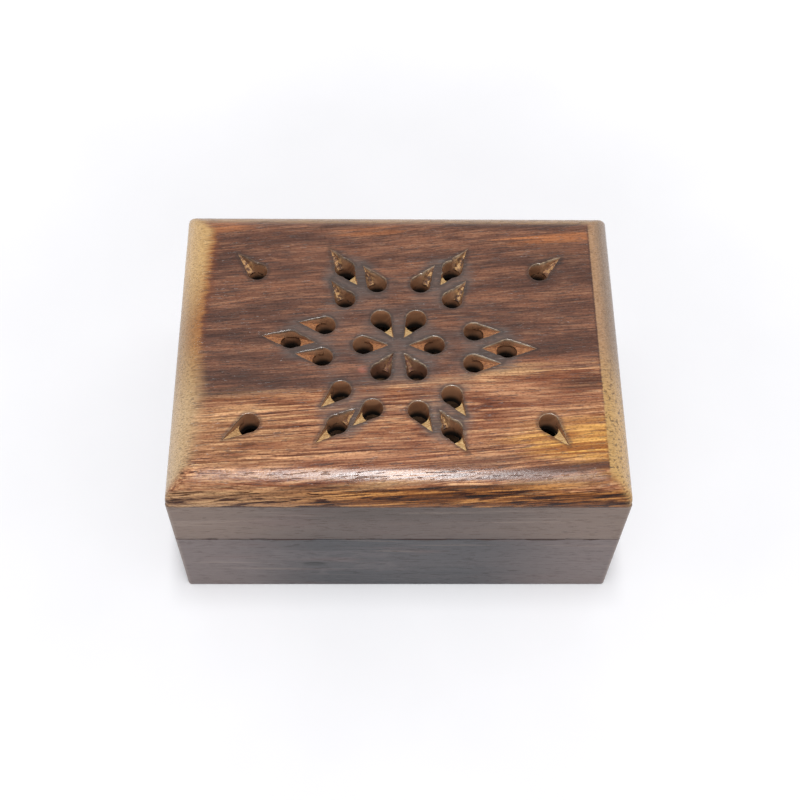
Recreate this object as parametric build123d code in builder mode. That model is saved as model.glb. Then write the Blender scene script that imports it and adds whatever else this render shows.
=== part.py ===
from build123d import *
from math import acos, cos, radians, sin, tan
import os

# A hinged wooden spice box. The lid is pierced by carved drops that form a six-pointed star, so that
# the scent of the spices inside comes out. The box is glued up whole and then sawn into lid and base.
# Millimetres. X runs along the length, the front faces -Y, Z is up. The origin is the middle of the underside.

# Outside sizes
BOX_LENGTH = 101.6
BOX_DEPTH = 76.2
BOX_HEIGHT = 50.8
SEAM_HEIGHT = 27.0  # where the lid meets the base

# Boards
TOP_BOARD = 7.0
BOTTOM_BOARD = 6.5
WALL = 8.0

# Rounded and eased edges
TOP_ROUND = 6.6  # the broad round along the lid's top edges
EDGE_LAND = 0.4  # upright part that is left of the top board's edge
CORNER_EASE = 0.8  # upright corners
SEAM_EASE = 0.4  # outer edges on both sides of the seam
FOOT_EASE = 0.6  # outer edges of the underside

# Carved drops: a drilled hole with one or two tails, each a wedge that rises from the hole to a point
HOLE_RADIUS = 2.35
TAIL_DEPTH = 4.2  # of a tail's sloping floor, under the middle of its hole
PATTERN_FORWARD = 0.8  # the star sits this far forward of the lid's middle
FLOWER_HOLES = 6  # round the middle, with tails that point inwards
FLOWER_RING = 8.1
FLOWER_TAIL = 5.8
SIDE_RING = 17.5  # a pair of holes in each of the star's points
SIDE_SPREAD = 14.0  # degrees from a point's middle line to each hole of its pair
SIDE_TAIL = 6.2
TIP_RING = 24.6  # one hole near the end of each point, with a tail each way
TIP_TAIL_OUT = 6.6
TIP_TAIL_IN = 5.7
CORNER_INSET = 17.9  # of the lid's four corner holes, from the two edges
CORNER_TAIL = 7.0
CORNER_LEANS = (-6.0, -1.5, -8.0, -8.0)  # degrees that the corner tails lean from the diagonal
POINT_ANGLES = (-2.0, 59.0, 120.5, 176.5, 236.5, 298.0)  # the star's points, as set out by eye
POINT_LEANS = (2.0, -2.5, 2.0, -4.5, -12.0, 1.5)  # degrees that the tails lean from their point's line

# Hinges: two small brass butts, sunk in a V-shaped groove along the back of the seam
HINGE_FROM_END = 22.0  # from the end of the box to the middle of a hinge
HINGE_LENGTH = 16.0
HINGE_INSET = 2.2  # from the back of the box to the hinge line
GROOVE_ANGLE = 47.0  # of each side of the groove, from the level of the seam
GROOVE_PAST_AXIS = 0.3  # how far the groove's bottom lies in front of the hinge line
BARREL_RADIUS = 1.5
BARREL_CLEARANCE = 0.25  # round the barrel and past the pin's ends, in the wood
KNUCKLES = 3
KNUCKLE_GAP = 0.1
PIN_RADIUS = 0.7
PIN_CLEARANCE = 0.05
PIN_OVERHANG = 0.3  # of the pin, past each end of the barrel
LEAF_THICKNESS = 0.8
LEAF_MARGIN = 0.6  # wood left between a leaf and the inside of the box
LEAF_CLEARANCE = 0.05  # round a leaf, in its recess

# Hinge screws
SCREW_SPACING = 9.0
SCREW_RADIUS = 0.55
SCREW_HEAD_RADIUS = 1.1
SCREW_LENGTH = 6.0
SCREW_POINT = 1.2
SCREW_CLEARANCE = 0.05
SCREW_SLOT = 0.3  # width and depth
COUNTERSINK = 90.0  # degrees

CUT_PAST = 1.0  # how far a cutter reaches past the face that it enters by

# Places that follow from the sizes
LID_UNDERSIDE = BOX_HEIGHT - TOP_BOARD
HINGE_Y = BOX_DEPTH / 2 - HINGE_INSET
HINGE_MIDDLES = {
    "left": HINGE_FROM_END - BOX_LENGTH / 2,
    "right": BOX_LENGTH / 2 - HINGE_FROM_END,
}
LEAF_REACH = WALL - HINGE_INSET - LEAF_MARGIN
SCREW_Y = HINGE_Y - (BARREL_RADIUS + LEAF_REACH) / 2
LID, BASE = 1, -1  # the two sides of the seam, up and down


def wall_ring(foot, top, seam_side):
    """Four walls in one ring, with the outer edges eased where the ring meets the seam."""
    with BuildPart() as ring:
        with BuildSketch(Plane.XY.offset(foot)):
            RectangleRounded(BOX_LENGTH, BOX_DEPTH, CORNER_EASE)
            Rectangle(BOX_LENGTH - 2 * WALL, BOX_DEPTH - 2 * WALL, mode=Mode.SUBTRACT)
        extrude(amount=top - foot)
        seam_face = ring.faces().sort_by(Axis.Z)[-1 if seam_side == BASE else 0]
        fillet(seam_face.outer_wire().edges(), radius=SEAM_EASE)
    return ring.part


def ring_stretch(ring, middle, length, depth):
    """The stretch of a ring of walls that stands on one rectangle of the plan."""
    with BuildPart() as stretch:
        add(ring)
        with BuildSketch():
            with Locations(middle):
                Rectangle(length, depth)
        extrude(amount=BOX_HEIGHT, mode=Mode.INTERSECT)
    return stretch.part


def hinge_groove():
    """The V-shaped groove along the back of the seam, which lets the lid fall open past upright."""
    bottom_y = HINGE_Y - GROOVE_PAST_AXIS
    mouth_y = BOX_DEPTH / 2 + CUT_PAST
    half_mouth = (mouth_y - bottom_y) * tan(radians(GROOVE_ANGLE))
    with BuildPart() as groove:
        with BuildSketch(Plane.YZ):
            with BuildLine():
                Polyline(
                    (bottom_y, SEAM_HEIGHT),
                    (mouth_y, SEAM_HEIGHT - half_mouth),
                    (mouth_y, SEAM_HEIGHT + half_mouth),
                    close=True,
                )
            make_face()
        extrude(amount=BOX_LENGTH / 2 + CUT_PAST, both=True)
    return groove.part


def screw_seats(middle, side):
    """Where the two screws of one leaf sit: on the leaf's face towards the seam, pointing away from it."""
    seat_z = SEAM_HEIGHT + side * (BARREL_RADIUS - LEAF_THICKNESS)
    places = [(middle + end * SCREW_SPACING / 2, SCREW_Y, seat_z) for end in (-1, 1)]
    return [Plane(origin=place, x_dir=(1, 0, 0), z_dir=(0, 0, -side)) for place in places]


def hinge_recess(middle, side):
    """What is cut from a back wall for one leaf: its bed, room for the barrel, and two screw holes."""
    bed_length = HINGE_LENGTH + 2 * LEAF_CLEARANCE
    bed_depth = HINGE_INSET + LEAF_REACH + LEAF_CLEARANCE + CUT_PAST
    with BuildPart() as recess:
        with BuildSketch(Plane.XY.offset(SEAM_HEIGHT - side * CUT_PAST)):
            with Locations((middle, BOX_DEPTH / 2 + CUT_PAST - bed_depth / 2)):
                Rectangle(bed_length, bed_depth)
        extrude(amount=side * (BARREL_RADIUS + CUT_PAST))
        with BuildSketch(Plane.YZ.offset(middle)):
            with Locations((HINGE_Y, SEAM_HEIGHT)):
                Circle(BARREL_RADIUS + BARREL_CLEARANCE)
        extrude(amount=HINGE_LENGTH / 2 + PIN_OVERHANG + BARREL_CLEARANCE, both=True)
        for seat in screw_seats(middle, side):
            with BuildSketch(seat):
                Circle(SCREW_RADIUS + SCREW_CLEARANCE)
            extrude(amount=-SCREW_LENGTH - SCREW_CLEARANCE)
    return recess.part


def hinge_leaf(middle, side):
    """One leaf with its knuckles. The lid's leaf has the odd knuckles and the base's the even ones."""
    knuckle_length = HINGE_LENGTH / KNUCKLES
    with BuildPart() as leaf:
        with BuildSketch(Plane.XY.offset(SEAM_HEIGHT + side * BARREL_RADIUS)):
            with Locations((middle, HINGE_Y - LEAF_REACH / 2)):
                Rectangle(HINGE_LENGTH, LEAF_REACH)
        extrude(amount=-side * LEAF_THICKNESS)
        for number in range(KNUCKLES):
            own = (number % 2 == 1) == (side == LID)
            knuckle_x = middle - HINGE_LENGTH / 2 + (number + 0.5) * knuckle_length
            with BuildSketch(Plane.YZ.offset(knuckle_x)):
                with Locations((HINGE_Y, SEAM_HEIGHT)):
                    Circle(BARREL_RADIUS if own else BARREL_RADIUS + KNUCKLE_GAP)
            if own:
                extrude(amount=(knuckle_length - KNUCKLE_GAP) / 2, both=True)
            else:
                extrude(amount=knuckle_length / 2, both=True, mode=Mode.SUBTRACT)
        with BuildSketch(Plane.YZ.offset(middle)):
            with Locations((HINGE_Y, SEAM_HEIGHT)):
                Circle(PIN_RADIUS + PIN_CLEARANCE)
        extrude(amount=HINGE_LENGTH, both=True, mode=Mode.SUBTRACT)
        with Locations(*screw_seats(middle, side)):
            CounterSinkHole(
                radius=SCREW_RADIUS + SCREW_CLEARANCE,
                counter_sink_radius=SCREW_HEAD_RADIUS + SCREW_CLEARANCE,
                depth=LEAF_THICKNESS + CUT_PAST,
                counter_sink_angle=COUNTERSINK,
            )
    return leaf.part


def hinge_pin(middle):
    """The pin through one hinge's knuckles, with its ends eased."""
    with BuildPart() as pin:
        with BuildSketch(Plane.YZ.offset(middle)):
            with Locations((HINGE_Y, SEAM_HEIGHT)):
                Circle(PIN_RADIUS)
        extrude(amount=HINGE_LENGTH / 2 + PIN_OVERHANG, both=True)
        chamfer(pin.edges().filter_by(GeomType.CIRCLE), length=PIN_OVERHANG / 2)
    return pin.part


def hinge_screw():
    """A slotted countersunk screw, with the face of its head at the origin and its point down."""
    neck = (SCREW_HEAD_RADIUS - SCREW_RADIUS) / tan(radians(COUNTERSINK / 2))
    with BuildPart() as screw:
        with BuildSketch(Plane.XZ):
            with BuildLine():
                Polyline(
                    (0, 0),
                    (SCREW_HEAD_RADIUS, 0),
                    (SCREW_RADIUS, -neck),
                    (SCREW_RADIUS, SCREW_POINT - SCREW_LENGTH),
                    (0, -SCREW_LENGTH),
                    close=True,
                )
            make_face()
        revolve(axis=Axis.Z)
        with BuildSketch():
            Rectangle(2 * SCREW_HEAD_RADIUS, SCREW_SLOT)
        extrude(amount=-SCREW_SLOT, mode=Mode.SUBTRACT)
    return screw.part


def tail_cutter(length):
    """The wedge that is carved for a tail: its hole's middle at the origin, its point at +X, level with Z = 0."""
    touch = acos(HOLE_RADIUS / length)  # where the straight sides leave the hole's circle
    shoulder = (HOLE_RADIUS * cos(touch), HOLE_RADIUS * sin(touch))
    with BuildPart() as tail:
        with BuildSketch(Plane.XY.offset(-TAIL_DEPTH)):
            with BuildLine():
                Polyline((0, 0), (shoulder[0], -shoulder[1]), (length, 0), shoulder, close=True)
            make_face()
        extrude(amount=TAIL_DEPTH + CUT_PAST)
        with BuildSketch(Plane.XZ):
            with BuildLine():
                Polyline((0, -TAIL_DEPTH), (length, 0), (length, CUT_PAST), (0, CUT_PAST), close=True)
            make_face()
        extrude(amount=HOLE_RADIUS, both=True, mode=Mode.INTERSECT)
    return tail.part


def polar(radius, angle):
    """A point of the star, from its middle."""
    return (radius * cos(radians(angle)), radius * sin(radians(angle)) - PATTERN_FORWARD)


def carved_drops():
    """Each drop as its hole's place and its tails, each tail a length and a direction in degrees."""
    drops = []
    for number in range(FLOWER_HOLES):
        angle = 360 / FLOWER_HOLES * number
        drops.append((polar(FLOWER_RING, angle), [(FLOWER_TAIL, angle + 180)]))
    for angle, lean in zip(POINT_ANGLES, POINT_LEANS):
        for spread in (-SIDE_SPREAD, SIDE_SPREAD):
            drops.append((polar(SIDE_RING, angle + spread), [(SIDE_TAIL, angle + lean)]))
        tails = [(TIP_TAIL_OUT, angle + lean), (TIP_TAIL_IN, angle + lean + 180)]
        drops.append((polar(TIP_RING, angle), tails))
    corner_x = BOX_LENGTH / 2 - CORNER_INSET
    corner_y = BOX_DEPTH / 2 - CORNER_INSET
    corners = ((1, 1), (-1, 1), (-1, -1), (1, -1))
    for number, (right, back) in enumerate(corners):
        place = (right * corner_x, back * corner_y - PATTERN_FORWARD)
        diagonal = 45 + 90 * number
        drops.append((place, [(CORNER_TAIL, diagonal + CORNER_LEANS[number])]))
    return drops


def save(piece, name):
    """Labels one finished piece and writes its file."""
    piece.label = name
    export_step(piece, f"parts/{name}.step")


os.makedirs("parts", exist_ok=True)

# The lid's top board, with its edges rounded both ways and the drops cut through it
drops = carved_drops()
top_round = min(TOP_ROUND, TOP_BOARD - EDGE_LAND)
with BuildPart() as lid_top_board:
    with BuildSketch(Plane.XY.offset(LID_UNDERSIDE)):
        RectangleRounded(BOX_LENGTH, BOX_DEPTH, CORNER_EASE)
    extrude(amount=TOP_BOARD)
    for view, across in ((Plane.XZ, BOX_LENGTH), (Plane.YZ, BOX_DEPTH)):
        with BuildSketch(view) as section:
            with Locations((0, LID_UNDERSIDE)):
                Rectangle(across, TOP_BOARD, align=(Align.CENTER, Align.MIN))
            fillet(section.vertices().group_by(Axis.Y)[-1], radius=top_round)
        extrude(amount=BOX_LENGTH, both=True, mode=Mode.INTERSECT)
    with BuildSketch(Plane.XY.offset(BOX_HEIGHT)):
        with Locations(*[place for place, tails in drops]):
            Circle(HOLE_RADIUS)
    extrude(amount=-TOP_BOARD, mode=Mode.SUBTRACT)
    for length in sorted({length for place, tails in drops for length, direction in tails}):
        tail_places = [
            Location((*place, BOX_HEIGHT), (0, 0, direction))
            for place, tails in drops
            for tail_length, direction in tails
            if tail_length == length
        ]
        with Locations(*tail_places):
            add(tail_cutter(length), mode=Mode.SUBTRACT)
save(lid_top_board.part, "lid_top_board")

# The bottom board, under the walls and flush with them
with BuildPart() as bottom_board:
    with BuildSketch():
        RectangleRounded(BOX_LENGTH, BOX_DEPTH, CORNER_EASE)
    extrude(amount=BOTTOM_BOARD)
    fillet(bottom_board.faces().sort_by(Axis.Z)[0].outer_wire().edges(), radius=FOOT_EASE)
save(bottom_board.part, "bottom_board")

# The walls: front and back run the whole length, and the sides stand between them
groove = hinge_groove()
end_x = (BOX_LENGTH - WALL) / 2
face_y = (BOX_DEPTH - WALL) / 2
side_depth = BOX_DEPTH - 2 * WALL
rings = (
    ("lid", "rail", LID, wall_ring(SEAM_HEIGHT, LID_UNDERSIDE, LID)),
    ("base", "wall", BASE, wall_ring(BOTTOM_BOARD, SEAM_HEIGHT, BASE)),
)
for half, kind, side, ring in rings:
    save(ring_stretch(ring, (0, -face_y), BOX_LENGTH, WALL), f"{half}_front_{kind}")
    save(ring_stretch(ring, (-end_x, 0), WALL, side_depth), f"{half}_left_{kind}")
    save(ring_stretch(ring, (end_x, 0), WALL, side_depth), f"{half}_right_{kind}")
    with BuildPart() as back_wall:
        add(ring_stretch(ring, (0, face_y), BOX_LENGTH, WALL))
        add(groove, mode=Mode.SUBTRACT)
        for middle in HINGE_MIDDLES.values():
            add(hinge_recess(middle, side), mode=Mode.SUBTRACT)
    save(back_wall.part, f"{half}_back_{kind}")

    # The screws of both hinges on this side of the seam, in one group
    with BuildPart() as screws:
        for middle in HINGE_MIDDLES.values():
            with Locations(*screw_seats(middle, side)):
                add(hinge_screw())
    save(screws.part, f"{half}_hinge_screws")

# The hinges themselves
for hand, middle in HINGE_MIDDLES.items():
    save(hinge_leaf(middle, LID), f"{hand}_hinge_lid_leaf")
    save(hinge_leaf(middle, BASE), f"{hand}_hinge_base_leaf")
    save(hinge_pin(middle), f"{hand}_hinge_pin")
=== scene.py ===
"""Looks of a small hinged wooden spice box, whose lid is pierced and carved with a star of drops."""
import random
from math import acos, atan2, ceil, copysign, cos, hypot, pi, radians, sin, sqrt, tau

import bpy
from mathutils import Matrix, Vector, noise
from mathutils.geometry import delaunay_2d_cdt


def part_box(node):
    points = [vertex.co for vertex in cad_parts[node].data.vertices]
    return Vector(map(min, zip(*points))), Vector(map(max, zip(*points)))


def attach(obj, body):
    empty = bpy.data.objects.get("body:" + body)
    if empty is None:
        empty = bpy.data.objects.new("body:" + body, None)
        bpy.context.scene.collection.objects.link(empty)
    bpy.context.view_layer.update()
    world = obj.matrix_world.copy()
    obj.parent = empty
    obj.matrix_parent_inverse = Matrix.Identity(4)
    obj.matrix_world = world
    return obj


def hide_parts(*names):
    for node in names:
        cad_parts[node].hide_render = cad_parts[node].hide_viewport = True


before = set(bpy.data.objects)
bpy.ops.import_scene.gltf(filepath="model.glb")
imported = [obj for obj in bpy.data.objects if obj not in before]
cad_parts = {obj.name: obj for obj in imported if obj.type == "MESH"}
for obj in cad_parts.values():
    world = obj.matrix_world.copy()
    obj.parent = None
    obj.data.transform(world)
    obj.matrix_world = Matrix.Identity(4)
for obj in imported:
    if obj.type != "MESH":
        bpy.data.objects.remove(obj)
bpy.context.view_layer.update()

# The box's own sizes in mm, read from the frame
MM = 0.001
board_low, board_high = (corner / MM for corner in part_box("lid_top_board"))
_, wall_high = (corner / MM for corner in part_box("base_front_wall"))
HALF_LENGTH = board_high.x
HALF_DEPTH = board_high.y
TOP = board_high.z
BOARD_UNDERSIDE = board_low.z
THICK = TOP - BOARD_UNDERSIDE
SEAM = wall_high.z

# The carved pattern in mm and degrees: places and outlines as in the CAD, depths by direction
HOLE_RADIUS = 2.35
TAIL_DEPTH_SIDEWAYS = 2.6
TAIL_DEPTH_BACKWARD = 5.8
TAIL_DEPTH_FORWARD = 3.8
PATTERN_FORWARD = 0.8
FLOWER_HOLES = 6
FLOWER_RING = 8.1
FLOWER_TAIL = 5.8
SIDE_RING = 17.5
SIDE_SPREAD = 14
SIDE_TAIL = 6.2
TIP_RING = 24.6
TIP_TAIL_OUT = 6.6
TIP_TAIL_IN = 5.7
CORNER_INSET = 17.9
CORNER_TAIL = 7.0
CORNER_LEANS = (-6, -1.5, -8, -8)
POINT_ANGLES = (-2, 59, 120.5, 176.5, 236.5, 298)
POINT_LEANS = (2, -2.5, 2, -4.5, -12, 1.5)

# How the carved board is modelled, in mm
EDGE_LAND = 0.4
ROUND = THICK - EDGE_LAND
FRONT_CORNER_EASE = 1.5
FRONT_MITRE_EASE = 3.0
BACK_CORNER_EASE = 0.8
BACK_MITRE_EASE = 1.2
GLUE_EASE = 0.12
RIM = 0.27
RIM_CHIP_SIZE = 1.1
APRON = 0.42
UNDER_APRON = 0.3
CLEAR = 9.0
LEAST_FLOOR = 0.14
TORN_LEAST = 0.06
TORN_MOST = 0.42
TORN_SIZE = 1.0
TEAR_SIZE = 0.9
COLUMN = 0.34
FLAT_STEP = 1.0
UNDERSIDE_STEP = 3.0
SLACK = 0.02
MERGE = 1e-5

# The same as shares, degrees, counts and a seed
RIM_SHARE = 0.7
RIM_CHIPS = 0.45
SCOOP = 0.9
TEAR = 1.8
TEAR_LEVEL = 0.3
SCATTER = 0.2
CLEAR_OF_DROPS = 0.45
CLEAR_OF_EDGES = 0.4
LEAST_TURN = 0.4
SHARP = 38
ROUND_STEPS = 14
CORNER_STEPS = 6
RIM_STEPS = 5
WALL_STEPS = 4
FLOOR_STEPS = 9
BORE_STEPS = 7
SEED = 11

# Colours as they show on a screen, red, green and blue from 0 to 255
WHITE = (255, 255, 255)
BACK_DARK = (72, 48, 41)
LINE = (158, 120, 104)
LOW_LINE = (98, 68, 48)
HAIR = (176, 130, 100)
RUST = (178, 120, 88)
GOLD = (222, 178, 126)
YELLOW = (255, 196, 104)
DUSK = (116, 72, 58)
ORANGE = (204, 134, 86)
PINK = (200, 120, 98)
PORE = (52, 32, 22)
END_LIGHT = (228, 199, 158)
END_BACK = (216, 178, 122)
END_GREY = (146, 118, 92)
END_TAN = (184, 146, 112)
END_YELLOW = (206, 166, 108)
STAIN = (98, 86, 81)
# Darker along the carving's rims
RIM_DARK = (48, 38, 34)
# Pale rims: partly wear, partly a painted highlight where they face forward
RIM_WEAR_HIGHLIGHT = (176, 152, 124)
CUT_RED = (116, 70, 54)
# Holes' walls: brown painted lighter, as painted light on their far walls
BORE_LIT_BROWN = (190, 140, 104)
# Painted shade low down in the holes
BORE_SHADE = (30, 22, 16)
RAIL_ENDS = (126, 105, 92)
BASE_ENDS = (120, 104, 100)
# Chips along the seam, and painted shade of the gap between lid and base
SEAM_CHIPS_AND_SHADE = (54, 32, 26)
RUDDY = (104, 78, 74)
KNOT = (36, 34, 36)
KNOT_RING = (128, 116, 116)
WORN = (150, 132, 120)
TARNISH = (70, 52, 32)

# Tones that follow a noise between 0 and 1, each with its level
BACK_TONES = ((0.39, BACK_DARK), (0.50, (107, 71, 56)), (0.61, (152, 102, 76)))
BACK_EDGE_TONES = ((0.38, (124, 88, 50)), (0.50, (158, 118, 68)), (0.62, (184, 144, 90)))
FRONT_TONES = ((0.37, (124, 76, 52)), (0.49, (224, 166, 120)), (0.61, (244, 198, 146)))
LOW_TONES = ((0.36, (78, 42, 18)), (0.50, (132, 78, 34)), (0.64, (200, 140, 78)))
LOW_LEFT_TONES = ((0.36, (108, 76, 54)), (0.50, (164, 124, 90)), (0.64, (206, 166, 122)))
END_LEFT_TONES = ((0.0, (120, 66, 40)), (0.12, (166, 112, 66)), (0.7, (168, 132, 90)))
CUT_PALE_TONES = ((0.35, (188, 142, 88)), (0.6, (230, 196, 138)))
CUT_BROWN_TONES = ((0.35, (122, 74, 48)), (0.6, (176, 118, 72)))
TORN_TONES = ((0.42, (84, 58, 42)), (0.50, (146, 104, 74)), (0.58, (204, 162, 108)))
RAIL_TONES = ((0.36, (78, 65, 59)), (0.50, (92, 77, 71)), (0.66, (110, 92, 83)))
BASE_TONES = ((0.36, (50, 50, 54)), (0.50, (61, 60, 64)), (0.66, (76, 71, 73)))
BARE_TONES = ((0.36, (84, 58, 42)), (0.50, (120, 88, 64)), (0.66, (156, 120, 90)))
BRASS_TONES = ((0.35, (140, 104, 52)), (0.62, (208, 170, 92)))
FLOOR_TONES = ((0.3, (243, 243, 246)), (0.7, (247, 247, 250)))

# Shades of the same form, which darken another colour where the noise is low
FIBRE_SHADE = ((0.40, (204, 190, 184)), (0.52, WHITE))
GRAIN_SHADE = ((0.40, (206, 196, 190)), (0.54, WHITE))
SPECK_SHADE = ((0.32, (216, 209, 204)), (0.50, WHITE))
BAND_SHADE = ((0.3, (236, 232, 228)), (0.7, WHITE))
END_SHADE = ((0.36, (220, 214, 206)), (0.56, WHITE))
RING_SHADE = ((0.36, (200, 190, 184)), (0.56, WHITE))

# Marks of the wood: length along the grain and width across it in mm, then detail and roughness
SWAY_MARK = (160, 45)
BROAD_MARK = (140, 7)
STREAK_MARK = (60, 1.6, 3, 0.55)
FIBRE_MARK = (24, 0.36, 2, 0.6)
SHORT_MARK = (9, 0.5, 3, 0.6)
DASH_MARK = (3, 0.26, 2, 0.6)
FADE_MARK = (26, 3.2)
FINE_THREADS = (40, 0.75, 1)
COARSE_THREADS = (70, 2.2, 1)
PORE_MARK = (3.4, 0.3, 1)
FLECK_MARK = (1.3, 0.7, 3, 0.6)
SPECK_MARK = (0.6, 0.35, 1)
BLOTCH_MARK = (20, 3.6, 3, 0.6)
HAIR_MARK = (14, 0.55)
LOW_MARK = (26, 1.3, 3, 0.6)
LOW_LINE_MARK = (17, 0.9)
LOW_BREAK_MARK = (9, 1.6)
END_BAND_MARK = (9, 0.5)
END_DOT_MARK = (0.9, 0.9, 1)
TORN_MARK = (0.9, 0.7, 2, 0.6)
KNOT_BEND_MARK = (16, 5, 3)
WALL_BAND_MARK = (55, 2.6)
WALL_RUDDY_MARK = (26, 5, 3)
WALL_KNOT_MARK = (3.5, 1.2)
SEAM_CHIP_MARK = (5, 5, 3)

# How noises are read: from and to which level, and the values there if not 0 and 1
SWAY = (0.2, 0.8, -2, 2)
PORES = (0.61, 0.68)
FADING = (0.36, 0.58)
BROKEN = (0.38, 0.55, 0.2, 0.8)
THREADS = (0.12, 0.05)
HAIRS = (0.045, 0.01)
HAIRS_SHOWN = (0.44, 0.56, 0.1, 0.5)
LOW_LINE_CORE = 0.035
LOW_BREAKS = (0.42, 0.50)
END_DOTS = (0.58, 0.66)
STAIN_RUNS = (0.4, 0.6, 0.5, -0.5)
RIM_FLECKS = (0.42, 0.58, 0.3, 0.8)
WALL_BANDS = (0.60, 0.70, 0, 0.3)
WALL_RUDDY = (0.54, 0.74, 0, 0.3)
WALL_KNOTS = (0.70, 0.76, 0, 0.5)
SEAM_UNEVEN = (0.4, 0.7, 0.5, -0.5)
TARNISHED = (0.60, 0.72, 0, 0.7)

# Values at the ends of a noise's usual range
NOISE_RANGE = (0.3, 0.7)
TONE_SWING = (-0.04, 0.04)
PATCH_SWING = (0.6, -0.6)
WOOD_SWING = (1.3, -1.3)
CLIMB_SWING = (-1, 1)
END_STREAKS = (-0.3, 0.3)
END_FIBRES = (-0.4, 0.4)
KNOT_BEND = (-2.4, 2.4)
BOARD_ROUGH = (0.23, 0.31)
WALL_ROUGH = (0.3, 0.42)

# Places in mm: from and to where something comes, and the values there if not 0 and 1
BACK_WOOD = (-11.6, -9.6)
BACK_EDGE_WOOD = (33.2, 34.6, 0, 0.85)
LOW_WOOD = (-35, -36.8)
LOW_LEFT_WOOD = (0, -46, 0, 0.9)
LOW_LINE_WIDTH = (-30, 40, 0.055, 0.085)
DULL_LOW = (-35.2, -37, 0.65, 0.2)
END_LEFT = 44.6
END_RIGHT = 45.3
END_FRONT = (4, -20)
END_FAR_BACK = (2, 24, 0, 0.8)
LEFT_FULL = 1.4
LEFT_PALE = (0.6, 3)
LEFT_FRONT = 6
RIGHT_WOOD = (-0.1, 0.3)
RIGHT_TAN = (3.4, 0.8)
# Painted shade of a crease along the right end's edge
RIGHT_CREASE_SHADE = (0.5, 0.1, 0)
END_PORES = (44.5, 46, 0)
END_PORES_LESS = (-12, 8, 0.1, 0.4)
MITRE = (-2.2, 1.6)
MITRE_FRONT = (0, -20)
MITRE_LEFT = (20, -20, 0, -1.6)
STAIN_REACH = (3.4, 0.6, 0, 0.8)
RIM_DARK_REACH = (1, 0.3, 0, 0.5)
# Reach of the pale rims, partly wear and partly painted highlight
RIM_HIGHLIGHT_REACH = (0.26, 0.12)
RIM_HIGHLIGHT_RIGHT = (-24, 16, 0.3, 1)
RED_REACH = (13, 10, 0, 0.6)
# Depths in mm where the holes' painted shade begins and where it is full
BORE_SHADE_DEPTHS = (TOP - 3.6, TOP - 6)
UNDER_WOOD = (BOARD_UNDERSIDE + 0.12, BOARD_UNDERSIDE + 0.04)
WALL_BARE = (0.4, 1.2)
WALL_CORNER = (36, 4, 0, 0.75)
WALL_WORN = (1.8, 0.7, 0, 0.4)
SEAM_DARK_REACH = (0.6, 0.15, 0, 0.8)
KNOT_MIDDLE = (-19.5, 13)
KNOT_REACH = (3, 1.3)

# Shares: of a reach, of the way from front to back, of a mark on the mesh or of a direction
PATCH_EDGE = (1.2, 0.4, 0)
KNOT_CORE = (1.2, 0.6, 0, 0.9)
KNOT_RING_AT = 4.6
KNOT_RING_EDGE = (1.6, 0.1, 0, 0.16)
LINES_SHOWN = (0, 1, 0.9, 0.3)
RIGHT_DOTS = (0, 1, 0.15, 0.6)
RIGHT_DARK = (0, 1, 0.6, 0.25)
LEFT_START = (0, 1, -1.5, -4.5)
CUT_BROWN = (0.05, 0.4)
CUT_PALE = (0.6, 0.95)
CUT_REDDENED = (0.5, 0.2)
OPEN_GRAIN = (0.1, 0.9)
FORWARD = (0, -0.4)
LEFT_DOTS = 0.16
BOARD_PORES = 0.5
WALL_PORES = 0.25
UNDER_SHARE = 0.85

# Slopes of the grain and of the woods' edges
GRAIN_SLOPE = 0.09
BACK_SLOPE = 0.12
FRONT_SLOPE = 0.1
END_SLOPE = 0.075

# Patches on the board's top: middle and reach in mm, strength and colour
BOARD_PATCHES = (
    ((-38, -24), (16, 9), 0.4, GOLD),
    ((0, -31), (60, 3), 0.35, RUST),
    ((42, -26), (18, 8), 0.95, YELLOW),
    ((32, -33), (15, 2.4), 0.85, DUSK),
    ((4, -34), (60, 2.4), 0.5, DUSK),
    ((19, -30.4), (13, 2), 0.6, DUSK),
    # Painted sheen: a lighter strip low on the front's round, where the gloss reaches lower in the middle
    ((-9, -35.6), (13, 1.8), 0.7, GOLD),
    ((34, -35.8), (10, 1.8), 0.6, GOLD),
    ((37, 29.5), (14, 1.8), 0.85, ORANGE),
    ((36, 23), (16, 5), 0.4, BACK_DARK),
    ((-5, 31), (8, 1.5), 0.5, ORANGE),
    ((-34, -9), (14, 4), 0.45, BACK_DARK),
    ((-42, 33), (8, 2.5), 0.7, ORANGE),
    ((30, -14), (26, 8), 0.75, RUST),
    ((2, -27.5), (20, 5), 0.65, RUST),
    ((42, -10.5), (7, 2), 0.6, BACK_DARK),
    ((27, -7.5), (10, 1.5), 0.5, GOLD),
    ((-8, -7.3), (1.5, 1.2), 0.6, PINK),
)

# How rough and shiny surfaces are, and how deep their relief is in mm
CUT_ROUGH = 0.35
BARE_ROUGH = 0.3
DULL_ROUGH = 0.14
SCRATCH_ROUGH = 0.12
WALL_SHINE = 0.32
PORE_DEPTH = 0.05
DASH_DEPTH = 0.015
SPECK_DEPTH = 0.02
TORN_DEPTH = 0.25
WALL_PORE_DEPTH = 0.04
WALL_FIBRE_DEPTH = 0.025
SCRATCH_DEPTH = 0.01

# How noises are stretched along X, Y and Z
WALL_CLOUD = (0.03, 0.06, 0.06)
END_BAND_STRETCH = (20, 0.02, 20)
BRASS_CLOUD = (0.5,) * 3
BRASS_SPECKS = (3,) * 3
BRASS_SCRATCHES = (0.4, 7, 7)

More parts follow.
